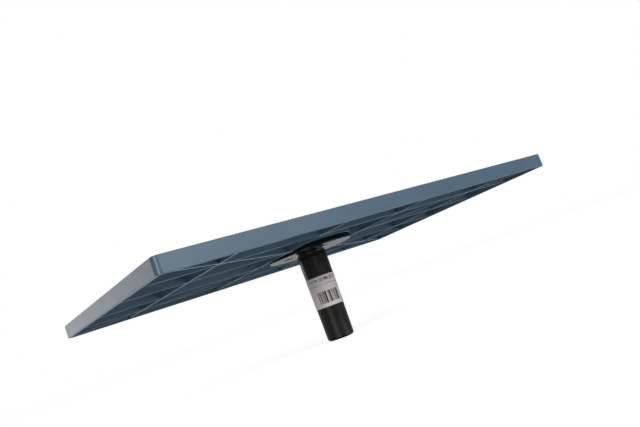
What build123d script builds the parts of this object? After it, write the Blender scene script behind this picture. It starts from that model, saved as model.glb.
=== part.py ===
from build123d import *

import math
import os

# A plasterer's mortar hawk: a ribbed plastic board carried on a round-flanged handle.
# Lengths are in millimetres and angles in degrees. The origin is the centre of the flat
# working face, +Z leaves that face, +X runs along the board's long side, and the handle
# hangs towards -Z.

# ---- Board ----
board_length = 520.0
board_width = 350.0
board_height = 16.0  # from the working face to the rim's lower edge
board_corner_radius = 6.0
plate_thickness = 3.0
rim_thickness = 3.0
face_edge_radius = 1.0  # round between the working face and the rim
rim_edge_radius = 0.5  # round on both sides of the rim's lower edge

# ---- Stiffening ribs under the board ----
rib_root_thickness = 2.8
rib_tip_thickness = 2.4
rib_tip_radius = 0.4
rib_recess = 1.5  # the rib tips stop this far short of the rim's lower edge
outer_cross_rib_x = 181.0  # ribs that run across the board, along Y
outer_long_rib_y = 113.0  # ribs that run along the board, along X
inner_long_rib_y = 42.0  # ribs from the ends of the board to the inner cross ribs
ejector_mark_diameter = 8.0
ejector_mark_depth = 0.3

# ---- Hub that the handle bolts to ----
hub_margin = 1.5  # hub's wall outside the flange's edge
hub_wall = 5.0
hub_depth = 11.0  # from the working face to the seat for the flange
hub_edge_radius = 0.6
hub_spoke_count = 6
hub_spoke_thickness = 2.0
boss_diameter = 11.0
locating_ring_wall = 2.5
locating_ring_reach = 4.0  # how far the ring enters the handle's bore
locating_ring_chamfer = 0.5

# ---- Handle core: flange, collar and tube in one moulding ----
flange_diameter = 106.0
flange_thickness = 6.5
flange_web = 3.0
flange_rim = 3.0
flange_edge_radius = 1.5
pad_diameter = 17.0  # solid pads round the screws on the flange's hidden side
collar_diameter = 36.0
collar_length = 6.0
collar_root_radius = 2.0
core_diameter = 26.0
core_bore = 20.0

# ---- Grip sleeve ----
grip_length = 104.5
grip_end_diameter = 33.0
grip_end_wall = 5.0
grip_end_radius = 3.0

# ---- Flange screws ----
screw_count = 3
screw_circle_diameter = 58.0
screw_first_angle = 30.0
screw_shank_diameter = 4.2
screw_length = 9.5  # below the head
screw_tip_length = 1.5
screw_head_diameter = 9.0
screw_head_height = 2.8
screw_head_edge_radius = 1.2
screw_recess_width = 1.2
screw_recess_span = 5.0
screw_recess_depth = 1.7
counterbore_diameter = 13.0
counterbore_depth = 4.0
counterbore_chamfer = 0.4

# ---- Label on the grip ----
label_height = 37.7
label_wrap = 76.0  # length round the grip
label_below_collar = 26.3
label_thickness = 0.2
label_facing = 236.0  # direction that the label's middle faces, about Z

# ---- Clearances ----
flange_side_gap = 0.6  # flange's edge to the ribs beside it
locating_clearance = 0.15  # radial, hub ring in the handle's bore
screw_hole_clearance = 0.4  # radial, shank in the flange
pilot_clearance = 0.05  # radial, shank in the boss
pilot_end_gap = 0.5  # past the screw's tip
grip_clearance = 0.1  # radial, core tube in the sleeve
core_end_gap = 1.0  # core tube to the sleeve's closed end
label_gap = 0.02  # radial, label off the sleeve
weld = 1.0  # how far ribs and walls run into what they join

# ---- Levels and places worked out from the sizes above ----
rim_z = -board_height
plate_z = -plate_thickness
rib_tip_z = rim_z + rib_recess
seat_z = -hub_depth
flange_z = seat_z - flange_thickness
collar_z = flange_z - collar_length
grip_end_z = collar_z - grip_length
core_end_z = grip_end_z + grip_end_wall + core_end_gap
head_seat_z = flange_z + counterbore_depth
screw_tip_z = head_seat_z + screw_length

cavity_length = board_length - 2 * rim_thickness
cavity_width = board_width - 2 * rim_thickness
flange_radius = flange_diameter / 2
hub_radius = flange_radius + hub_margin
flange_pocket_radius = flange_radius + flange_side_gap
inner_cross_rib_x = flange_pocket_radius + rib_root_thickness / 2
collar_radius = collar_diameter / 2
grip_end_taper = (collar_diameter - grip_end_diameter) / 2 / grip_length


def screw_places():
    """The places of the screws, on their circle round the handle."""
    places = []
    for index in range(screw_count):
        angle = math.radians(screw_first_angle + index * 360 / screw_count)
        radius = screw_circle_diameter / 2
        places.append((radius * math.cos(angle), radius * math.sin(angle)))
    return places


def disc(radius, low, high, x=0.0, y=0.0):
    """An upright cylinder between two levels."""
    return Pos(x, y, low) * extrude(Circle(radius), high - low)


def tube(outer, inner, low, high):
    """An upright tube on the handle's axis, between two levels."""
    return disc(outer, low, high) - disc(inner, low, high)


def circle_edges(solid, radius, level):
    """The circular edges of one radius that lie at one level."""
    return solid.edges().filter_by(GeomType.CIRCLE).filter_by(
        lambda edge: math.isclose(edge.radius, radius, abs_tol=0.01)
        and math.isclose(edge.arc_center.Z, level, abs_tol=0.01)
    )


def rib(length, x=0.0, y=0.0, angle=0.0):
    """A drafted rib with a rounded tip, centred on a point and turned about Z."""
    root = rib_root_thickness / 2
    tip = rib_tip_thickness / 2
    depth = plate_z - rib_tip_z
    section = Polygon(
        (-root, weld), (-root, 0), (-tip, -depth), (tip, -depth), (root, 0), (root, weld), align=None
    )
    tip_corners = section.vertices().group_by(Axis.Y)[0]
    section = fillet(tip_corners, rib_tip_radius)
    bar = extrude(Plane.YZ * section, length / 2, both=True)
    return Pos(x, y, plate_z) * Rot(0, 0, angle) * bar


def board_shell():
    """The plate with its deep rim, hollow below."""
    outline = RectangleRounded(board_length, board_width, board_corner_radius)
    block = extrude(outline, rim_z)
    block = fillet(block.edges().group_by(Axis.Z)[-1], face_edge_radius)
    inner_radius = board_corner_radius - rim_thickness
    hollow = extrude(RectangleRounded(cavity_length, cavity_width, inner_radius), plate_z - rim_z)
    shell = block - Pos(0, 0, rim_z) * hollow
    return fillet(shell.edges().group_by(Axis.Z)[0], rim_edge_radius)


def board_ribs():
    """The grid of ribs and the two diagonals, cut back to make room for the flange.

    The inner cross ribs pass close beside the flange without a break. The inner long ribs end
    at them, so the bay round the hub is open.
    """
    long_rib = cavity_length + rim_thickness
    cross_rib = cavity_width + rim_thickness
    end_rib = long_rib / 2 - inner_cross_rib_x
    end_rib_x = inner_cross_rib_x + end_rib / 2
    diagonal = math.hypot(cavity_length, cavity_width)
    diagonal_angle = math.degrees(math.atan2(cavity_width, cavity_length))
    ribs = [rib(diagonal, angle=diagonal_angle), rib(diagonal, angle=-diagonal_angle)]
    for side in (-1, 1):
        ribs.append(rib(cross_rib, x=side * inner_cross_rib_x, angle=90))
        ribs.append(rib(cross_rib, x=side * outer_cross_rib_x, angle=90))
        ribs.append(rib(long_rib, y=side * outer_long_rib_y))
        ribs.append(rib(end_rib, x=end_rib_x, y=side * inner_long_rib_y))
        ribs.append(rib(end_rib, x=-end_rib_x, y=side * inner_long_rib_y))
    inside_hub = disc(hub_radius - hub_wall / 2, rim_z, 0)
    flange_pocket = disc(flange_pocket_radius, rim_z, seat_z)
    return [bar - inside_hub - flange_pocket for bar in ribs]


def board_hub():
    """The hub's wall, spokes, screw bosses and the ring that centres the handle."""
    top = plate_z + weld
    wall = tube(hub_radius, hub_radius - hub_wall, seat_z, top)
    wall = fillet(circle_edges(wall, hub_radius, seat_z), hub_edge_radius)
    ring_radius = core_bore / 2 - locating_clearance
    ring_tip_z = seat_z - locating_ring_reach
    ring = tube(ring_radius, ring_radius - locating_ring_wall, ring_tip_z, top)
    ring = chamfer(circle_edges(ring, ring_radius, ring_tip_z), locating_ring_chamfer)
    pieces = [wall, ring]
    spoke_start = ring_radius - locating_ring_wall / 2
    spoke_length = hub_radius - hub_wall / 2 - spoke_start
    for index in range(hub_spoke_count):
        angle = screw_first_angle + index * 360 / hub_spoke_count
        outline = Pos(spoke_start + spoke_length / 2, 0) * Rectangle(spoke_length, hub_spoke_thickness)
        pieces.append(Rot(0, 0, angle) * Pos(0, 0, seat_z) * extrude(outline, top - seat_z))
    for x, y in screw_places():
        pieces.append(disc(boss_diameter / 2, seat_z, top, x, y))
    return pieces


def ejector_marks():
    """Shallow round marks that the mould's ejector pins leave in the open cells."""
    middle_x = (inner_cross_rib_x + outer_cross_rib_x) / 2
    end_x = (outer_cross_rib_x + cavity_length / 2) / 2
    middle_y = (inner_long_rib_y + outer_long_rib_y) / 2
    end_y = (outer_long_rib_y + cavity_width / 2) / 2
    places = set()
    for x, y in ((0, middle_y), (0, end_y), (middle_x, 0), (end_x, 0), (middle_x, end_y), (end_x, middle_y)):
        for side_x in (-1, 1):
            for side_y in (-1, 1):
                places.add((side_x * x, side_y * y))
    radius = ejector_mark_diameter / 2
    return [disc(radius, plate_z - weld, plate_z + ejector_mark_depth, x, y) for x, y in sorted(places)]


def make_board():
    """The board: one moulding with its rim, ribs and hub."""
    body = board_shell() + board_ribs() + board_hub()
    pilot_radius = screw_shank_diameter / 2 + pilot_clearance
    pilots = [disc(pilot_radius, seat_z - weld, screw_tip_z + pilot_end_gap, x, y) for x, y in screw_places()]
    return body - pilots - ejector_marks()


def make_handle_core():
    """The round flange with its collar and the hollow tube that the sleeve is pushed onto."""
    body = disc(flange_radius, flange_z, seat_z)
    body = fillet(circle_edges(body, flange_radius, flange_z), flange_edge_radius)
    body -= tube(flange_radius - flange_rim, collar_radius, flange_z + flange_web, seat_z)
    body += [disc(pad_diameter / 2, flange_z + flange_web, seat_z, x, y) for x, y in screw_places()]
    body += disc(collar_radius, collar_z, flange_z)
    body = fillet(circle_edges(body, collar_radius, flange_z), collar_root_radius)
    body += disc(core_diameter / 2, core_end_z, collar_z)
    body -= disc(core_bore / 2, core_end_z, seat_z)
    hole_radius = screw_shank_diameter / 2 + screw_hole_clearance
    bore_radius = counterbore_diameter / 2
    for x, y in screw_places():
        body -= disc(hole_radius, flange_z, seat_z, x, y)
        body -= disc(bore_radius, flange_z, head_seat_z, x, y)
    return chamfer(circle_edges(body, bore_radius, flange_z), counterbore_chamfer)


def make_grip_sleeve():
    """The tapered sleeve, open at the collar and closed at its rounded end."""
    blank = Cone(grip_end_diameter / 2, collar_radius, grip_length, align=(Align.CENTER, Align.CENTER, Align.MIN))
    blank = Pos(0, 0, grip_end_z) * blank
    blank = fillet(circle_edges(blank, grip_end_diameter / 2, grip_end_z), grip_end_radius)
    return blank - disc(core_diameter / 2 + grip_clearance, grip_end_z + grip_end_wall, collar_z)


def make_label():
    """The paper label, wrapped part of the way round the tapered sleeve."""
    top_z = collar_z - label_below_collar
    bottom_z = top_z - label_height
    top_radius = collar_radius - grip_end_taper * (collar_z - top_z) + label_gap
    bottom_radius = collar_radius - grip_end_taper * (collar_z - bottom_z) + label_gap
    section = Polygon(
        (bottom_radius, bottom_z),
        (bottom_radius + label_thickness, bottom_z),
        (top_radius + label_thickness, top_z),
        (top_radius, top_z),
        align=None,
    )
    wrap_angle = math.degrees(label_wrap / ((top_radius + bottom_radius) / 2))
    sheet = revolve(Plane.XZ * section, Axis.Z, wrap_angle)
    return Rot(0, 0, label_facing - wrap_angle / 2) * sheet


def make_screw(x, y):
    """A pan-head screw with a cross recess, standing head down in its counterbore."""
    head_z = head_seat_z - screw_head_height
    head = disc(screw_head_diameter / 2, head_z, head_seat_z)
    head = fillet(circle_edges(head, screw_head_diameter / 2, head_z), screw_head_edge_radius)
    slot = Rectangle(screw_recess_span, screw_recess_width) + Rectangle(screw_recess_width, screw_recess_span)
    head -= Pos(0, 0, head_z) * extrude(slot, screw_recess_depth)
    shank = disc(screw_shank_diameter / 2, head_seat_z, screw_tip_z)
    tip_edge = circle_edges(shank, screw_shank_diameter / 2, screw_tip_z)
    shank = chamfer(tip_edge, screw_tip_length, screw_shank_diameter / 4)
    return Pos(x, y, 0) * (head + shank)


parts = {
    "board": make_board(),
    "handle_core": make_handle_core(),
    "grip_sleeve": make_grip_sleeve(),
    "grip_label": make_label(),
}
for number, (screw_x, screw_y) in enumerate(screw_places(), start=1):
    parts[f"flange_screw_{number}"] = make_screw(screw_x, screw_y)

os.makedirs("parts", exist_ok=True)
for node, solid in parts.items():
    export_step(solid, f"parts/{node}.step")
    print(node, round(solid.volume), "mm3")
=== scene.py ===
import logging
import math
from dataclasses import dataclass, field
from enum import Enum

import bpy
import numpy as np
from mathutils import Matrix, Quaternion, Vector


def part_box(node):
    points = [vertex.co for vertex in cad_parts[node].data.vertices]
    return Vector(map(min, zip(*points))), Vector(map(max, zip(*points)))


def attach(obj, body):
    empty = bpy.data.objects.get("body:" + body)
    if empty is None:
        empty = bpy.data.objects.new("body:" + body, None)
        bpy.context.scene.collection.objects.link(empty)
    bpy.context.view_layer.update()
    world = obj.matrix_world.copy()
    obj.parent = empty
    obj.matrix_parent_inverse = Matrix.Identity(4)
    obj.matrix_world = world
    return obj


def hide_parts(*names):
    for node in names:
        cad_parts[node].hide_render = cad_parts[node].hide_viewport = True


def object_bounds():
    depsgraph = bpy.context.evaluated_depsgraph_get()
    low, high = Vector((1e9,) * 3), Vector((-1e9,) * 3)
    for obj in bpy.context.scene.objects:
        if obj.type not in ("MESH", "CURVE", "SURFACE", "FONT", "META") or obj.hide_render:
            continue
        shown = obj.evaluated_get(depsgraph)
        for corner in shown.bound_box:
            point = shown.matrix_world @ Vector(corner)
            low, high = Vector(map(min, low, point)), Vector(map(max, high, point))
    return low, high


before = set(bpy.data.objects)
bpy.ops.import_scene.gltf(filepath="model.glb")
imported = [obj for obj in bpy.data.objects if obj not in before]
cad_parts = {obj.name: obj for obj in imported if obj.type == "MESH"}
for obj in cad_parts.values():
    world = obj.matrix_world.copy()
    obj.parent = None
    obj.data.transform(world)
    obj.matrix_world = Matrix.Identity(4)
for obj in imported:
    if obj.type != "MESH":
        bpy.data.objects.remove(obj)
CAD_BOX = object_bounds()

MM = 0.001  # one millimetre, in the frame's metres
NEAR = 0.001  # levels this many millimetres apart count as one
BODY = "root"
FULL_TURN = 2 * math.pi
WHOLE = (0.0, 1.0)  # a pattern's whole range
ROUND_POINTS = 13  # points on a quarter circle of a profile
LABEL_SHEET = (76.0, 37.7)  # the label's width and height in millimetres
LABEL_MAP = "label"  # the name of the label's UV map
Socket = bpy.types.NodeSocket
log = logging.getLogger("mortar_hawk")


# ---------------------------------------------------------------------------
# Colours, nodes and meshes
# ---------------------------------------------------------------------------


def srgb(code: str) -> tuple[float, float, float, float]:
    """Turns an sRGB hex colour into linear light.

    Args:
        code: six hex digits, with or without a leading hash.

    Returns:
        Red, green, blue and an alpha of one.
    """
    digits = code.lstrip("#")
    channels = [int(digits[i : i + 2], 16) / 255 for i in (0, 2, 4)]
    linear = [c / 12.92 if c <= 0.04045 else ((c + 0.055) / 1.055) ** 2.4 for c in channels]
    return (*linear, 1.0)


def add_node(
    tree: bpy.types.NodeTree,
    kind: str,
    links: dict | None = None,
    inputs: dict | None = None,
    **settings: object,
) -> bpy.types.Node:
    """Adds a node with its settings, socket values and incoming links.

    Args:
        tree: the node tree that takes the node.
        kind: the node's type name.
        links: input socket (name or number) to the output socket that feeds it.
        inputs: input socket (name or number) to its own value.
        settings: the node's properties.

    Returns:
        The new node.
    """
    node = tree.nodes.new(kind)
    for name, value in settings.items():
        setattr(node, name, value)
    for socket, value in (inputs or {}).items():
        node.inputs[socket].default_value = value
    for socket, source in (links or {}).items():
        tree.links.new(source, node.inputs[socket])
    return node


def per_mm(size: float) -> float:
    """The texture scale that gives features of a size.

    Args:
        size: the features' size in millimetres.

    Returns:
        The scale, in patterns per metre.
    """
    return 1.0 / (size * MM)


def mesh_piece(name: str, vertices: np.ndarray, quads: np.ndarray) -> bpy.types.Object:
    """Makes a smooth-shaded mesh object at the origin.

    Args:
        name: the piece's name.
        vertices: an (n, 3) array of places in metres.
        quads: an (m, 4) array of vertex numbers; a triangle repeats its last corner.

    Returns:
        The new object, linked to the scene.
    """
    faces = [tuple(dict.fromkeys(face)) for face in quads.tolist()]
    mesh = bpy.data.meshes.new(name)
    mesh.from_pydata(vertices.tolist(), [], faces)
    mesh.update()
    mesh.shade_smooth()
    piece = bpy.data.objects.new(name, mesh)
    bpy.context.scene.collection.objects.link(piece)
    return piece


def revolve(radii: np.ndarray, levels: np.ndarray, angles: np.ndarray) -> tuple[np.ndarray, np.ndarray]:
    """Sweeps a profile round the Z axis, from one point on the axis to another.

    A point is (r cos a, r sin a, z), for each profile step and each angle. The two end
    steps lie on the axis, so each is one point that the first and last rings close on.
    The faces point outwards when the profile runs down the piece's outer wall.

    Args:
        radii: the radius at each profile step and each angle, (steps, angles).
        levels: the height at each profile step and each angle, (steps, angles).
        angles: the angles of the rings' points, increasing round one turn.

    Returns:
        Vertices and faces.
    """
    rings = np.stack([radii * np.cos(angles), radii * np.sin(angles), levels], axis=-1)[1:-1]
    steps, count = rings.shape[:2]
    start = np.array([[0.0, 0.0, levels[0].mean()]])
    end = np.array([[0.0, 0.0, levels[-1].mean()]])
    vertices = np.concatenate([rings.reshape(-1, 3), start, end])
    index = np.arange(steps * count).reshape(steps, count)
    following = np.roll(index, -1, axis=1)
    walls = np.stack([index[:-1], index[1:], following[1:], following[:-1]], axis=-1).reshape(-1, 4)
    first = np.full(count, steps * count)
    last = first + 1
    cap = np.stack([index[0], following[0], first, first], axis=-1)
    tail = np.stack([following[-1], index[-1], last, last], axis=-1)
    return vertices, np.concatenate([cap, walls, tail])


# ---------------------------------------------------------------------------
# Finishes
# ---------------------------------------------------------------------------


def new_material(name: str) -> tuple[bpy.types.Material, bpy.types.NodeTree]:
    """Makes an empty node material.

    Args:
        name: what the material is and how its surface was made.

    Returns:
        The material and its node tree.
    """
    material = bpy.data.materials.new(name)
    material.use_nodes = True
    material.node_tree.nodes.clear()
    return material, material.node_tree


def finish_surface(tree: bpy.types.NodeTree, links: dict, inputs: dict) -> None:
    """Adds the surface shader and the material's output.

    Args:
        tree: the material's node tree.
        links: what feeds the shader's sockets.
        inputs: values set on the shader's own sockets.
    """
    shader = add_node(tree, "ShaderNodeBsdfPrincipled", links=links, inputs=inputs)
    add_node(tree, "ShaderNodeOutputMaterial", links={"Surface": shader.outputs[0]})


def place(tree: bpy.types.NodeTree) -> Socket:
    """The place on the piece that patterns read.

    Args:
        tree: the material's node tree.

    Returns:
        The piece's own coordinates, in metres.
    """
    return add_node(tree, "ShaderNodeTexCoord").outputs["Object"]


def noise(tree: bpy.types.NodeTree, where: Socket, size: float, detail: float = 2.0) -> Socket:
    """A noise pattern with features of a size in millimetres.

    Args:
        tree: the material's node tree.
        where: the coordinates that it reads.
        size: the features' size in millimetres.
        detail: how many finer layers it has.

    Returns:
        The pattern's value, from zero to one.
    """
    inputs = {"Scale": per_mm(size), "Detail": detail}
    return add_node(tree, "ShaderNodeTexNoise", links={"Vector": where}, inputs=inputs).outputs[0]


def spread(
    tree: bpy.types.NodeTree,
    value: Socket,
    start: tuple[float, float],
    to: tuple[float, float] = WHOLE,
) -> Socket:
    """Maps a stretch of a pattern's values onto another range, clamped.

    Args:
        tree: the material's node tree.
        value: the pattern.
        start: the pattern's values that map to the range's two ends.
        to: the range.

    Returns:
        The mapped value.
    """
    inputs = {"From Min": start[0], "From Max": start[1], "To Min": to[0], "To Max": to[1]}
    return add_node(tree, "ShaderNodeMapRange", links={"Value": value}, inputs=inputs).outputs[0]


def maths(tree: bpy.types.NodeTree, how: str, first: Socket, second: Socket | float = 0.0) -> Socket:
    """Joins two values by an arithmetic operation.

    Args:
        tree: the node tree.
        how: the operation's name.
        first: the first value.
        second: the second value, a socket or a plain number.

    Returns:
        The result.
    """
    links, inputs = {0: first}, {}
    (links if isinstance(second, Socket) else inputs)[1] = second
    return add_node(tree, "ShaderNodeMath", links=links, inputs=inputs, operation=how).outputs[0]


def blend_colours(
    tree: bpy.types.NodeTree, share: Socket, first: Socket | tuple, second: Socket | tuple
) -> Socket:
    """Mixes two colours by a share.

    Args:
        tree: the material's node tree.
        share: zero for the first colour and one for the second.
        first: a linear colour, or the socket that gives one.
        second: a linear colour, or the socket that gives one.

    Returns:
        The mixed colour.
    """
    # The mix node's colours go in at sockets 6 and 7 and come out at 2.
    mix = add_node(tree, "ShaderNodeMix", links={0: share}, data_type="RGBA")
    for socket, colour in ((6, first), (7, second)):
        if isinstance(colour, Socket):
            tree.links.new(colour, mix.inputs[socket])
        else:
            mix.inputs[socket].default_value = colour
    return mix.outputs[2]


def grain_bump(tree: bpy.types.NodeTree, where: Socket, size: float, depth: float) -> Socket:
    """The normal of a surface with a fine moulded grain.

    Args:
        tree: the material's node tree.
        where: the coordinates that the grain reads.
        size: the grain's width in millimetres.
        depth: the grain's depth in millimetres.

    Returns:
        The normal.
    """
    links = {"Height": noise(tree, where, size, detail=3.0)}
    inputs = {"Strength": 1.0, "Distance": depth * MM}
    return add_node(tree, "ShaderNodeBump", links=links, inputs=inputs).outputs[0]


@dataclass(frozen=True)
class MouldedBoardPlastic:
    """Blue-grey high-impact polystyrene, injection-moulded in a finely spark-eroded mould.

    It gives the eye a satin skin with broad soft highlights, which turn glossy where the
    surface is seen edge-on. Melt flow leaves faint paler clouds, and handling a few
    rubbed spots.
    """

    colour: str = "#59758B"
    flow_colour: str = "#5F7B91"
    rubbed_colour: str = "#8DA0AE"
    roughness: float = 0.30
    roughness_change: float = 0.02
    ior: float = 1.50
    flow_size: float = 90.0  # clouds that the melt leaves between the ribs
    smear_size: float = 22.0
    rubbed_size: float = 7.0
    rubbed_share: float = 0.06
    grain_size: float = 0.8  # about 0.1 on a real mould; drawn as coarse as it needs to show
    grain_depth: float = 0.006
    flow_band: tuple[float, float] = (0.35, 0.65)  # noise values from one colour to the other
    rubbed_band: tuple[float, float] = (0.5, 0.9)
    smear_band: tuple[float, float] = (0.3, 0.7)

    def build(self) -> bpy.types.Material:
        """Blends the flow clouds and rubbed spots, and sets the smeared gloss and grain.

        Returns:
            The material.
        """
        material, tree = new_material("polystyrene_blue_grey_moulded")
        where = place(tree)
        flow = spread(tree, noise(tree, where, self.flow_size, detail=3.0), self.flow_band)
        body = blend_colours(tree, flow, srgb(self.colour), srgb(self.flow_colour))
        spots = noise(tree, where, self.rubbed_size, detail=6.0)
        rubbed = spread(tree, spots, self.rubbed_band, (0.0, self.rubbed_share))
        colour = blend_colours(tree, rubbed, body, srgb(self.rubbed_colour))
        gloss = (self.roughness - self.roughness_change, self.roughness + self.roughness_change)
        rough = spread(tree, noise(tree, where, self.smear_size, detail=4.0), self.smear_band, gloss)
        grain = grain_bump(tree, where, self.grain_size, self.grain_depth)
        links = {"Base Color": colour, "Roughness": rough, "Normal": grain}
        finish_surface(tree, links, {"IOR": self.ior})
        return material


@dataclass(frozen=True)
class GlossMoulding:
    """Black ABS, injection-moulded against a polished mould face.

    It gives the eye a near-black mirror, seen as pale as the room where the flange is
    looked at edge-on, with a slight haze and specks of dust.
    """

    colour: str = "#0E0E0E"
    dust_colour: str = "#383835"
    roughness: float = 0.10
    haze: float = 0.08
    ior: float = 1.53
    haze_size: float = 18.0
    dust_size: float = 0.7
    dust_share: float = 0.35
    dust_band: tuple[float, float] = (0.74, 0.80)  # only the noise's peaks are dust
    haze_band: tuple[float, float] = (0.3, 0.75)

    def build(self) -> bpy.types.Material:
        """Scatters dust over the black and makes the gloss uneven.

        Returns:
            The material.
        """
        material, tree = new_material("abs_black_polished_moulding")
        where = place(tree)
        specks = noise(tree, where, self.dust_size, detail=1.0)
        dust = spread(tree, specks, self.dust_band, (0.0, self.dust_share))
        colour = blend_colours(tree, dust, srgb(self.colour), srgb(self.dust_colour))
        haze = noise(tree, where, self.haze_size, detail=4.0)
        rough = spread(tree, haze, self.haze_band, (self.roughness, self.roughness + self.haze))
        finish_surface(tree, {"Base Color": colour, "Roughness": rough}, {"IOR": self.ior})
        return material


@dataclass(frozen=True)
class SatinSleeve:
    """Black plasticised PVC, smooth from its mould and polished by hands.

    It gives the eye a soft black with one narrow upright highlight, and greyer, duller
    patches where palms have rubbed it.
    """

    colour: str = "#0E0E0F"
    rubbed_colour: str = "#181817"
    roughness: float = 0.17
    rubbed_roughness: float = 0.26
    ior: float = 1.45
    rubbed_size: float = 16.0
    grain_size: float = 0.6  # a leathery mould grain, drawn coarser than the real 0.2
    grain_depth: float = 0.006
    rubbed_band: tuple[float, float] = (0.42, 0.68)

    def build(self) -> bpy.types.Material:
        """Blends the rubbed patches into the black and adds the grain.

        Returns:
            The material.
        """
        material, tree = new_material("pvc_black_moulded_sleeve")
        where = place(tree)
        rubbed = spread(tree, noise(tree, where, self.rubbed_size, detail=5.0), self.rubbed_band)
        colour = blend_colours(tree, rubbed, srgb(self.colour), srgb(self.rubbed_colour))
        rough = spread(tree, rubbed, WHOLE, (self.roughness, self.rubbed_roughness))
        grain = grain_bump(tree, where, self.grain_size, self.grain_depth)
        links = {"Base Color": colour, "Roughness": rough, "Normal": grain}
        finish_surface(tree, links, {"IOR": self.ior})
        return material


@dataclass(frozen=True)
class PlatedSteel:
    """Steel screw wire, cold-headed, thread-rolled and zinc-plated.

    It gives the eye a bright grey metal whose plating is slightly cloudy.
    """

    colour: str = "#A9ABAE"
    cloud_colour: str = "#7D7F82"
    roughness: float = 0.28
    cloud_roughness: float = 0.43
    cloud_size: float = 2.5
    cloud_band: tuple[float, float] = (0.35, 0.7)

    def build(self) -> bpy.types.Material:
        """Blends the plating's bright and cloudy places.

        Returns:
            The material.
        """
        material, tree = new_material("steel_zinc_plated")
        cloud = spread(tree, noise(tree, place(tree), self.cloud_size, detail=4.0), self.cloud_band)
        colour = blend_colours(tree, cloud, srgb(self.colour), srgb(self.cloud_colour))
        rough = spread(tree, cloud, WHOLE, (self.roughness, self.cloud_roughness))
        finish_surface(tree, {"Base Color": colour, "Roughness": rough}, {"Metallic": 1.0})
        return material


@dataclass(frozen=True)
class PrintBlock:
    """A rectangle of the label that holds randomly inked cells; sizes are in millimetres."""

    columns: tuple[float, float]  # where it starts and ends along the label
    rows: tuple[float, float]  # where it starts and ends up the label
    cell: tuple[float, float]  # the width and height of one inked or blank cell
    blank_share: float  # the share of cells left blank; below zero, none is
    strength: float = 1.0  # how dark its ink is

    def ink(self, tree: bpy.types.NodeTree, sheet: Socket) -> Socket:
        """Inks a cell where its own random number is over the share of blanks.

        Args:
            tree: the material's node tree.
            sheet: the place on the label in millimetres, as a vector.

        Returns:
            The ink's strength on ink, and zero on paper.
        """
        cell = self.vector(tree, "DIVIDE", sheet, (*self.cell, 1.0))
        number = self.vector(tree, "FLOOR", cell)
        random = add_node(tree, "ShaderNodeTexWhiteNoise", links={"Vector": number}, noise_dimensions="2D")
        ink = maths(tree, "GREATER_THAN", random.outputs[0], self.blank_share)
        ends = (self.columns, self.rows)
        middle = (*(sum(pair) / 2 for pair in ends), 0.0)
        away = self.vector(tree, "ABSOLUTE", self.vector(tree, "SUBTRACT", sheet, middle))
        parts = add_node(tree, "ShaderNodeSeparateXYZ", links={0: away}).outputs
        for part, (low, high) in zip(parts, ends):
            ink = maths(tree, "MULTIPLY", ink, maths(tree, "LESS_THAN", part, (high - low) / 2))
        return maths(tree, "MULTIPLY", ink, self.strength)

    @staticmethod
    def vector(
        tree: bpy.types.NodeTree,
        how: str,
        first: Socket,
        second: tuple[float, float, float] = (0.0, 0.0, 0.0),
    ) -> Socket:
        """Joins a vector with a constant one by an operation.

        Args:
            tree: the material's node tree.
            how: the operation's name.
            first: the vector.
            second: the constant vector; an operation on one vector doesn't read it.

        Returns:
            The result.
        """
        links, inputs = {0: first}, {1: second}
        return add_node(tree, "ShaderNodeVectorMath", links=links, inputs=inputs, operation=how).outputs[0]


@dataclass(frozen=True)
class PrintedPaper:
    """White coated label paper, thermally printed with plain bars, dashes and a rule.

    It gives the eye a matt off-white with faint fibres and crisp brownish-black print.
    The print is made of random cells and spells nothing.
    """

    colour: str = "#FBF4F4"
    fibre_colour: str = "#EFE8E7"
    ink_colour: str = "#352B2C"
    roughness: float = 0.45
    fibre_roughness: float = 0.55
    ior: float = 1.5
    fibre_size: float = 1.2
    fibre_share: float = 0.3
    sheet: tuple[float, float] = LABEL_SHEET
    fibre_band: tuple[float, float] = (0.3, 0.7)
    # Two groups of bars with a solid one between, a row of dense print, dashes and a rule.
    blocks: tuple[PrintBlock, ...] = (
        PrintBlock((28.0, 38.7), (4.7, 18.9), (0.62, 40.0), 0.24),
        PrintBlock((40.4, 42.3), (4.7, 18.9), (0.62, 40.0), 0.30),
        PrintBlock((42.3, 44.1), (4.7, 18.9), (60.0, 40.0), -1.0),
        PrintBlock((44.8, 54.2), (4.7, 18.9), (0.62, 40.0), 0.36),
        PrintBlock((36.0, 60.5), (31.2, 35.4), (0.80, 1.40), 0.52, 0.8),
        PrintBlock((19.5, 33.5), (32.8, 34.3), (0.95, 0.75), 0.35, 0.7),
        PrintBlock((18.8, 60.0), (26.8, 27.3), (60.0, 60.0), -1.0, 0.45),
    )

    def build(self) -> bpy.types.Material:
        """Lays every block of print over the paper's fibres.

        Returns:
            The material.
        """
        material, tree = new_material("paper_white_coated_printed")
        flat = add_node(tree, "ShaderNodeUVMap", uv_map=LABEL_MAP).outputs[0]
        sheet = PrintBlock.vector(tree, "MULTIPLY", flat, (*self.sheet, 0.0))
        ink = self.blocks[0].ink(tree, sheet)
        for block in self.blocks[1:]:
            ink = maths(tree, "MAXIMUM", ink, block.ink(tree, sheet))
        fibres = spread(tree, noise(tree, place(tree), self.fibre_size, detail=5.0), self.fibre_band)
        share = maths(tree, "MULTIPLY", fibres, self.fibre_share)
        paper = blend_colours(tree, share, srgb(self.colour), srgb(self.fibre_colour))
        colour = blend_colours(tree, ink, paper, srgb(self.ink_colour))
        rough = spread(tree, fibres, WHOLE, (self.roughness, self.fibre_roughness))
        finish_surface(tree, {"Base Color": colour, "Roughness": rough}, {"IOR": self.ior})
        return material


# ---------------------------------------------------------------------------
# The hawk's sub-assemblies; their sizes are in millimetres and degrees
# ---------------------------------------------------------------------------


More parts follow.
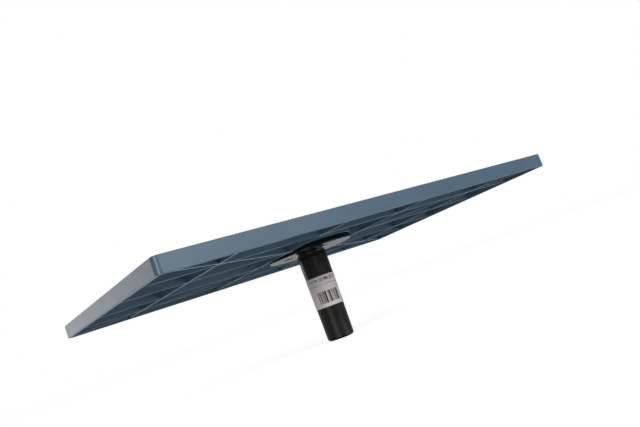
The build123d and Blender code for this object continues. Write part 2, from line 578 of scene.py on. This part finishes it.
class Slot(Enum):
    """The record's material slots meant for the new pieces; the script gives no piece a slot."""

    SLEEVE = "grip_plastic"
    LABEL = "label_paper"
    SCREW = "screw_steel"


def dress(piece: bpy.types.Object, material: bpy.types.Material) -> None:
    """Gives a piece one material in place of what it had.

    Args:
        piece: the piece, or the CAD node.
        material: its material.
    """
    piece.data.materials.clear()
    piece.data.materials.append(material)
    log.info("%s wears %s", piece.name, material.name)


def settle(piece: bpy.types.Object, node: str) -> None:
    """Puts a new piece on the hawk's body, in place of the CAD node that it stands for.

    Args:
        piece: the new piece.
        node: the CAD node's name.
    """
    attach(piece, BODY)
    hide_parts(node)
    log.info("%s stands for %s, %d faces", piece.name, node, len(piece.data.polygons))


def quarter_round(centre: tuple[float, float], radius: float, start: float, end: float) -> np.ndarray:
    """An arc of a profile: centre plus radius times the cosine and sine of each angle.

    Args:
        centre: the arc's centre, as radius and level.
        radius: the arc's own radius.
        start: the angle that it starts at, in degrees from outwards towards up.
        end: the angle that it ends at.

    Returns:
        Points as radius and level.
    """
    turn = np.radians(np.linspace(start, end, ROUND_POINTS))
    return np.stack([centre[0] + radius * np.cos(turn), centre[1] + radius * np.sin(turn)], axis=1)


@dataclass
class RibbedBoard:
    """The moulded board, whose shape is the CAD node's own."""

    finish: MouldedBoardPlastic = MouldedBoardPlastic()

    def build(self) -> None:
        """Gives the board its plastic."""
        dress(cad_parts["board"], self.finish.build())


@dataclass
class GripSleeve:
    """The tapered sleeve: bore, mouth, wall and rounded closed end, as one turned surface."""

    end_wall: float = 5.0
    end_outer_radius: float = 16.5  # before the closed end is rounded
    bore_radius: float = 13.1
    end_round: float = 3.0
    mouth_round: float = 0.6
    gate_radius: float = 2.2  # the round mark that the mould's gate leaves
    gate_depth: float = 0.35
    gate_draft: float = 0.9  # the mark's inner radius as a share of its mouth's
    seam_height: float = 0.08
    seam_width: float = 0.3
    seam_angle: float = 70.0
    seam_reach: float = 0.06  # radians each side of a seam that have closer points
    seam_points: int = 17
    turn_points: int = 144
    floor_points: int = 8  # this and the next five: points on each stretch of the outline
    bore_points: int = 24
    lip_points: int = 6
    wall_points: int = 90
    end_points: int = 10
    gate_points: int = 5
    least_wall: float = 2.0  # points this far out from the bore are on the outer wall
    finish: SatinSleeve = SatinSleeve()

    def outer_radius(self, level: np.ndarray) -> np.ndarray:
        """The outer wall's radius, which narrows in proportion to the depth below the mouth.

        Args:
            level: heights in millimetres.

        Returns:
            The radius at each height.
        """
        low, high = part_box("grip_sleeve")
        depth = (high.z / MM - level) / ((high.z - low.z) / MM)
        return high.x / MM - (high.x / MM - self.end_outer_radius) * depth

    def profile(self) -> np.ndarray:
        """The sleeve's outline from the bottom of its bore, over its mouth, to its end.

        Straight stretches are evenly spaced points, and rounds are quarter circles.

        Returns:
            Points as radius and level, in millimetres.
        """
        low, high = (corner.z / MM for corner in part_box("grip_sleeve"))
        lip_level, turn_level = high - self.mouth_round, low + self.end_round
        wide, narrow = self.outer_radius(np.array([lip_level, turn_level]))
        floor = low + self.end_wall
        gate = low + self.gate_depth
        stretches = [
            np.linspace((0.0, floor), (self.bore_radius, floor), self.floor_points),
            np.linspace((self.bore_radius, floor), (self.bore_radius, high), self.bore_points),
            np.linspace((self.bore_radius, high), (wide - self.mouth_round, high), self.lip_points),
            quarter_round((wide - self.mouth_round, lip_level), self.mouth_round, 90, 0),
            np.linspace((wide, lip_level), (narrow, turn_level), self.wall_points),
            quarter_round((narrow - self.end_round, turn_level), self.end_round, 0, -90),
            np.linspace((narrow - self.end_round, low), (self.gate_radius, low), self.end_points),
        ]
        inner = self.gate_radius * self.gate_draft
        dimple = np.linspace((inner, gate), (0.0, gate), self.gate_points)
        return np.concatenate([stretches[0]] + [part[1:] for part in stretches[1:]] + [dimple])

    def build(self) -> bpy.types.Object:
        """Turns the outline round the axis, with a fine moulding seam down each side.

        The seam is a ridge whose height is a bell curve of the distance round the wall
        from the seam's line; it is there only on the outer wall and the rounded end.

        Returns:
            The sleeve.
        """
        radii, levels = self.profile().T
        seam = math.radians(self.seam_angle)
        across = np.linspace(-self.seam_reach, self.seam_reach, self.seam_points)
        even = np.linspace(0, FULL_TURN, self.turn_points, endpoint=False)
        every = np.concatenate([even, seam + across, seam + math.pi + across])
        angles = np.unique(np.mod(every, FULL_TURN).round(6))
        away = np.abs(np.mod(angles - seam + math.pi / 2, math.pi) - math.pi / 2)
        ridge = self.seam_height * np.exp(-((away * radii[:, None] / (self.seam_width / 2)) ** 2))
        outside = radii[:, None] > self.bore_radius + self.least_wall
        radius = radii[:, None] + np.where(outside, ridge, 0.0)
        level = levels[:, None] + 0 * ridge
        piece = mesh_piece("sleeve", *revolve(radius * MM, level * MM, angles))
        settle(piece, "grip_sleeve")
        dress(piece, self.finish.build())
        return piece


@dataclass
class GripLabel:
    """The paper label, a thin sheet with rounded corners that follows the sleeve's taper."""

    sleeve: GripSleeve
    wrap: float = LABEL_SHEET[0]
    height: float = LABEL_SHEET[1]
    thickness: float = 0.2
    gap: float = 0.03
    corner: float = 2.0
    wave: float = 0.05
    swell: tuple[float, float] = (7.3, 11.0)  # a wave's reach per radian, along and up
    chop: tuple[float, float] = (17.0, 5.1)  # the same of the other wave
    facing: float = 236.0  # the direction that the middle of the label faces
    columns: int = 121
    rows: int = 49
    finish: PrintedPaper = PrintedPaper()

    def build(self) -> bpy.types.Object:
        """Wraps a rounded rectangle round the sleeve and gives it a thickness.

        A grid point at (u, v), both from -1 to 1, is at height v H/2 and at arc length
        u times the half length there: W/2 less the corner's circular pull-in near the
        top and bottom. The radius is the sleeve's at that height, plus the gap, plus a
        low ripple, from the product of two slow waves, that keeps the sheet from being
        a perfect cone. The rows gather at the rounded corners, as the sine of an even
        spacing.

        Returns:
            The label.
        """
        low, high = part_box("grip_label")
        across = np.linspace(-1, 1, self.columns)[None, :]
        up = np.sin(np.linspace(-math.pi / 2, math.pi / 2, self.rows))[:, None] * self.height / 2
        beyond = np.clip(np.abs(up) - (self.height / 2 - self.corner), 0, self.corner)
        half = self.wrap / 2 - (self.corner - np.sqrt(self.corner**2 - beyond**2))
        arc = across * half
        level = (low.z + high.z) / 2 / MM + up + 0 * arc
        inner = self.sleeve.outer_radius(level) + self.gap
        angle = math.radians(self.facing) + arc / inner.mean()
        swell = np.sin(arc / self.swell[0] + up / self.swell[1])
        chop = np.cos(up / self.chop[1] - arc / self.chop[0])
        outer = inner + self.thickness + self.wave * (0.5 + 0.5 * swell * chop)
        sheets = [
            np.stack([radius * np.cos(angle), radius * np.sin(angle), level], axis=-1).reshape(-1, 3)
            for radius in (outer, inner)
        ]
        piece = mesh_piece("label", np.concatenate(sheets) * MM, self.faces())
        self.lay_out(piece, arc, up)
        settle(piece, "grip_label")
        dress(piece, self.finish.build())
        return piece

    def faces(self) -> np.ndarray:
        """The quads of the outer sheet, the inner sheet behind it, and the edge between.

        Returns:
            Four vertex numbers for each face.
        """
        count = self.rows * self.columns
        index = np.arange(count).reshape(self.rows, self.columns)
        face = np.stack([index[:-1, :-1], index[:-1, 1:], index[1:, 1:], index[1:, :-1]], axis=-1)
        face = face.reshape(-1, 4)
        edge = np.concatenate([index[0, :-1], index[:-1, -1], index[-1, :0:-1], index[:0:-1, 0]])
        onward = np.roll(edge, -1)
        strip = np.stack([onward, edge, edge + count, onward + count], axis=-1)
        return np.concatenate([face, face[:, ::-1] + count, strip])

    def lay_out(self, piece: bpy.types.Object, arc: np.ndarray, up: np.ndarray) -> None:
        """Gives the label a UV map that runs from zero to one along and up the sheet.

        Args:
            piece: the label.
            arc: each grid point's distance along the sheet from its middle.
            up: each row's distance above the sheet's middle.
        """
        flat = np.stack([arc / self.wrap + 0.5, up / self.height + 0.5 + 0 * arc], axis=-1).reshape(-1, 2)
        both = np.concatenate([flat, flat])
        layer = piece.data.uv_layers.new(name=LABEL_MAP)
        corners = np.zeros(len(piece.data.loops), int)
        piece.data.loops.foreach_get("vertex_index", corners)
        layer.data.foreach_set("uv", both[corners].astype(np.float32).ravel())


@dataclass
class Handle:
    """The flanged core, the sleeve on it and the label on the sleeve."""

    finish: GlossMoulding = GlossMoulding()
    sleeve: GripSleeve = field(default_factory=GripSleeve)

    def build(self) -> None:
        """Dresses the core and builds the sleeve and the label."""
        dress(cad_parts["handle_core"], self.finish.build())
        self.sleeve.build()
        GripLabel(self.sleeve).build()


@dataclass
class FlangeScrews:
    """The three pan-head screws, each a turned surface with a cross recess and a thread."""

    count: int = 3
    head_height: float = 2.8
    head_round: float = 1.2
    dome: float = 0.35  # how much the head's middle stands above its edge
    core_radius: float = 1.55
    thread_radius: float = 2.1
    thread_pitch: float = 1.6
    thread_width: float = 0.5  # the ridge's base as a share of the pitch
    thread_start: float = 0.8  # the stretch under the head where the ridge grows
    tip_length: float = 1.5
    tip_radius: float = 0.5
    recess_width: float = 1.2
    recess_span: float = 5.0
    recess_depth: float = 1.7
    recess_draft: float = 0.25  # the width of the recess's sloping walls
    turn_points: int = 120
    taper_points: int = 6  # this and the next four: points on each stretch of the outline
    shank_points: int = 70
    under_points: int = 8
    side_points: int = 3
    face_points: int = 40
    turn_step: float = 0.7  # radians that each screw is driven further than the last
    finish: PlatedSteel = PlatedSteel()

    def build(self) -> None:
        """Builds each screw where its CAD node is, a different way round each time."""
        material = self.finish.build()
        for number in range(1, self.count + 1):
            node = f"flange_screw_{number}"
            piece = self.build_screw(f"screw_{number}", node, number * self.turn_step)
            settle(piece, node)
            dress(piece, material)

    def build_screw(self, name: str, node: str, turned: float) -> bpy.types.Object:
        """Turns a screw's outline round its own axis and moves it to its place.

        The profile runs from the tip, down the shank, out under the head, round its
        edge and back to the middle of its face. The thread is a triangular ridge that
        rises where the height, in pitches, and the angle, in turns, agree. The recess
        lifts the face where the point lies within either arm of a cross.

        Args:
            name: the screw's name.
            node: the CAD node that it stands for.
            turned: how far the screw has been driven round, in radians.

        Returns:
            The screw.
        """
        low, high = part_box(node)
        radius_of_head = (high.x - low.x) / 2 / MM
        face_radius = radius_of_head - self.head_round
        face, tip = low.z / MM, high.z / MM
        under = face + self.head_height
        taper = tip - self.tip_length
        edge = face + self.dome + self.head_round
        stretches = [
            np.array([(0.0, tip), (self.tip_radius, tip)]),
            np.linspace((self.tip_radius, tip), (self.core_radius, taper), self.taper_points),
            np.linspace((self.core_radius, taper), (self.core_radius, under), self.shank_points),
            np.linspace((self.core_radius, under), (radius_of_head, under), self.under_points),
            np.linspace((radius_of_head, under), (radius_of_head, edge), self.side_points),
            quarter_round((face_radius, edge), self.head_round, 0, -90),
            np.linspace((face_radius, face + self.dome), (0.0, face), self.face_points),
        ]
        profile = np.concatenate([stretches[0]] + [part[1:] for part in stretches[1:]])
        radii, levels = profile[:, 0][:, None], profile[:, 1][:, None]
        angles = np.linspace(0, FULL_TURN, self.turn_points, endpoint=False)
        phase = np.mod(levels / self.thread_pitch - angles / FULL_TURN, 1.0)
        ridge = np.clip(1 - np.abs(phase - 0.5) / (self.thread_width / 2), 0, 1)
        ridge = ridge * np.isclose(radii, self.core_radius)
        start = np.clip((levels - under) / self.thread_start, 0, 1)
        fade = start * np.clip((tip - levels) / self.tip_length, 0, 1)
        radius = radii + (self.thread_radius - self.core_radius) * ridge * fade
        on_face = levels < face + self.dome + NEAR
        level = levels + on_face * self.recess_depth * self.recess(radii, angles)
        vertices, faces = revolve(radius * MM, level * MM, angles)
        centre = (low + high) / 2
        spin = np.array([[math.cos(turned), math.sin(turned)], [-math.sin(turned), math.cos(turned)]])
        vertices[:, :2] = vertices[:, :2] @ spin + (centre.x, centre.y)
        return mesh_piece(name, vertices, faces)

    def recess(self, radii: np.ndarray, angles: np.ndarray) -> np.ndarray:
        """How deep the cross recess is at each point of the face, from zero to one.

        Args:
            radii: each step's distance from the screw's axis.
            angles: each point's angle round it.

        Returns:
            One inside the cross, falling to zero over its sloping walls.
        """
        across, along = np.abs(radii * np.cos(angles)), np.abs(radii * np.sin(angles))
        width, span = self.recess_width / 2, self.recess_span / 2
        first_arm = np.maximum(across - width, along - span)
        second_arm = np.maximum(along - width, across - span)
        outside = np.minimum(first_arm, second_arm)
        return np.clip(-outside / self.recess_draft, 0, 1)


# ---------------------------------------------------------------------------
# Studio; its places and sizes are in metres
# ---------------------------------------------------------------------------


@dataclass(frozen=True)
class Softbox:
    """A rectangular light with an even face, turned towards the hawk."""

    name: str
    place: tuple[float, float, float]
    size: tuple[float, float]
    glow: float  # the brightness of its face, where white paper in full light is 1
    colour: tuple[float, float, float] = (1.0, 1.0, 1.0)
    aim: tuple[float, float, float] = (0.0, 0.0, -0.03)

    def build(self) -> None:
        """Hangs the light; its power is its glow times pi times its area."""
        light = bpy.data.lights.new(self.name, "AREA")
        light.shape = "RECTANGLE"
        light.size, light.size_y = self.size
        light.color = self.colour
        light.energy = self.glow * math.pi * self.size[0] * self.size[1]
        holder = bpy.data.objects.new(self.name, light)
        holder.location = self.place
        holder.rotation_mode = "QUATERNION"
        holder.rotation_quaternion = (Vector(self.aim) - Vector(self.place)).to_track_quat("-Z", "Y")
        holder.visible_camera = False
        bpy.context.scene.collection.objects.link(holder)
        log.info("%s hung", self.name)


@dataclass
class Studio:
    """A white floor and backdrop, soft light, and the camera."""

    floor_half: float = 30.0
    floor_glow: float = 0.85
    sky_glow: float = 0.15  # the room's light from above the horizon
    horizon_glow: float = 0.34  # the light that the floor sends back from far away
    ground_glow: float = 0.07  # and from close below
    # How far up a direction points, as its Z: from the floor's light to the sky's, and from the
    # floor close below to the floor far away.
    horizon_band: tuple[float, float] = (-0.02, 0.06)
    ground_band: tuple[float, float] = (-0.5, -0.1)
    floor_colour: str = "#F2F2F2"
    floor_roughness: float = 0.9
    sky_tint: str = "#FFFFFF"
    ground_tint: str = "#FFFFF8"
    camera_place: tuple[float, float, float] = (-0.43413, -0.63755, -0.07556)
    camera_forward: tuple[float, float, float] = (0.58704, 0.79952, 0.12708)
    camera_roll: float = 20.257  # degrees
    lens: float = 35.184  # millimetres
    # The board shades the label from all but the low lights. The rib tips mirror what is low
    # at the back and on the right.
    lights: tuple[Softbox, ...] = (
        Softbox("front_box", (0.37, -2.70, 0.78), (0.65, 1.1), 5.3),
        Softbox("front_fill", (1.10, -2.22, 0.75), (1.0, 1.1), 1.7),
        Softbox("top_front", (0.3, -1.6, 1.7), (1.4, 1.0), 1.0),
        Softbox("corner_box", (-1.85, -1.33, 0.36), (0.25, 0.3), 40.0, (1.0, 0.88, 0.85)),
        Softbox("low_front", (0.9, -1.4, -0.6), (1.2, 0.6), 2.2),
        Softbox("low_side", (-1.4, -1.1, -0.6), (1.2, 0.6), 1.4, (1.0, 0.98, 0.97)),
        Softbox("low_back", (0.86, 1.61, -0.81), (2.4, 0.8), 1.25, (0.68, 0.95, 1.18)),
        Softbox("low_right", (1.29, 0.35, -1.20), (1.2, 0.8), 0.65, (0.75, 0.96, 1.12)),
        Softbox("back_card", (-1.0, 2.55, 0.35), (1.3, 0.9), 1.15),
        Softbox("strip", (-0.69, -1.55, 0.03), (0.55, 0.12), 0.8, (0.85, 0.8, 1.3)),
    )

    def build(self) -> None:
        """Makes the floor, the backdrop, the lights and the camera."""
        self.build_floor()
        self.build_backdrop()
        for light in self.lights:
            light.build()
        self.build_camera()
        bpy.context.scene.view_settings.view_transform = "Standard"

    def build_floor(self) -> None:
        """Lays a white floor under the handle's end, seen only by the camera.

        It glows, so that the hawk's shadow on it stays faint. The light that it would
        send back up comes from the backdrop's lower half instead.
        """
        corner = np.array([(-1, -1, 0), (1, -1, 0), (1, 1, 0), (-1, 1, 0)]) * self.floor_half
        floor = mesh_piece("floor", corner + (0, 0, CAD_BOX[0].z), np.array([[0, 1, 2, 3]]))
        material, tree = new_material("paper_white_floor")
        paper = {"Base Color": srgb(self.floor_colour), "Roughness": self.floor_roughness}
        glow = {"Emission Color": srgb("#FFFFFF"), "Emission Strength": self.floor_glow}
        finish_surface(tree, {}, paper | glow)
        floor.data.materials.append(material)
        floor.visible_diffuse = False
        floor.visible_glossy = False
        floor.visible_shadow = False

    def build_backdrop(self) -> None:
        """Surrounds the hawk with white for the camera and with a dimmer room for light.

        The floor's glow grows towards the horizon, and turns to the sky's over a narrow
        band there.
        """
        world = bpy.data.worlds.new("white_backdrop")
        world.use_nodes = True
        tree = world.node_tree
        tree.nodes.clear()
        way = add_node(tree, "ShaderNodeTexCoord").outputs["Generated"]
        height = add_node(tree, "ShaderNodeSeparateXYZ", links={0: way}).outputs[2]
        above = spread(tree, height, self.horizon_band)
        tint = blend_colours(tree, above, srgb(self.ground_tint), srgb(self.sky_tint))
        floor = spread(tree, height, self.ground_band, (self.ground_glow, self.horizon_glow))
        share = spread(tree, above, WHOLE, (1.0, self.sky_glow / self.horizon_glow))
        glow = maths(tree, "MULTIPLY", floor, share)
        room = add_node(tree, "ShaderNodeBackground", links={"Color": tint, "Strength": glow})
        white = add_node(tree, "ShaderNodeBackground", inputs={"Color": (1, 1, 1, 1), "Strength": 1.0})
        seen = add_node(tree, "ShaderNodeLightPath").outputs["Is Camera Ray"]
        links = {0: seen, 1: room.outputs[0], 2: white.outputs[0]}
        both = add_node(tree, "ShaderNodeMixShader", links=links)
        add_node(tree, "ShaderNodeOutputWorld", links={"Surface": both.outputs[0]})
        bpy.context.scene.world = world

    def build_camera(self) -> None:
        """Stands the camera low at the near left corner, looking slightly up and rolled."""
        data = bpy.data.cameras.new("camera")
        data.lens = self.lens
        camera = bpy.data.objects.new("camera", data)
        camera.location = self.camera_place
        camera.rotation_mode = "QUATERNION"
        forward = Vector(self.camera_forward)
        level = forward.to_track_quat("-Z", "Y")
        camera.rotation_quaternion = Quaternion(forward, math.radians(self.camera_roll)) @ level
        bpy.context.scene.collection.objects.link(camera)
        bpy.context.scene.camera = camera


def main() -> None:
    """Builds the hawk's pieces in order, then the studio round them."""
    logging.basicConfig(level=logging.INFO, format="%(name)s: %(message)s")
    RibbedBoard().build()
    Handle().build()
    FlangeScrews().build()
    Studio().build()


if __name__ == "__main__":
    main()
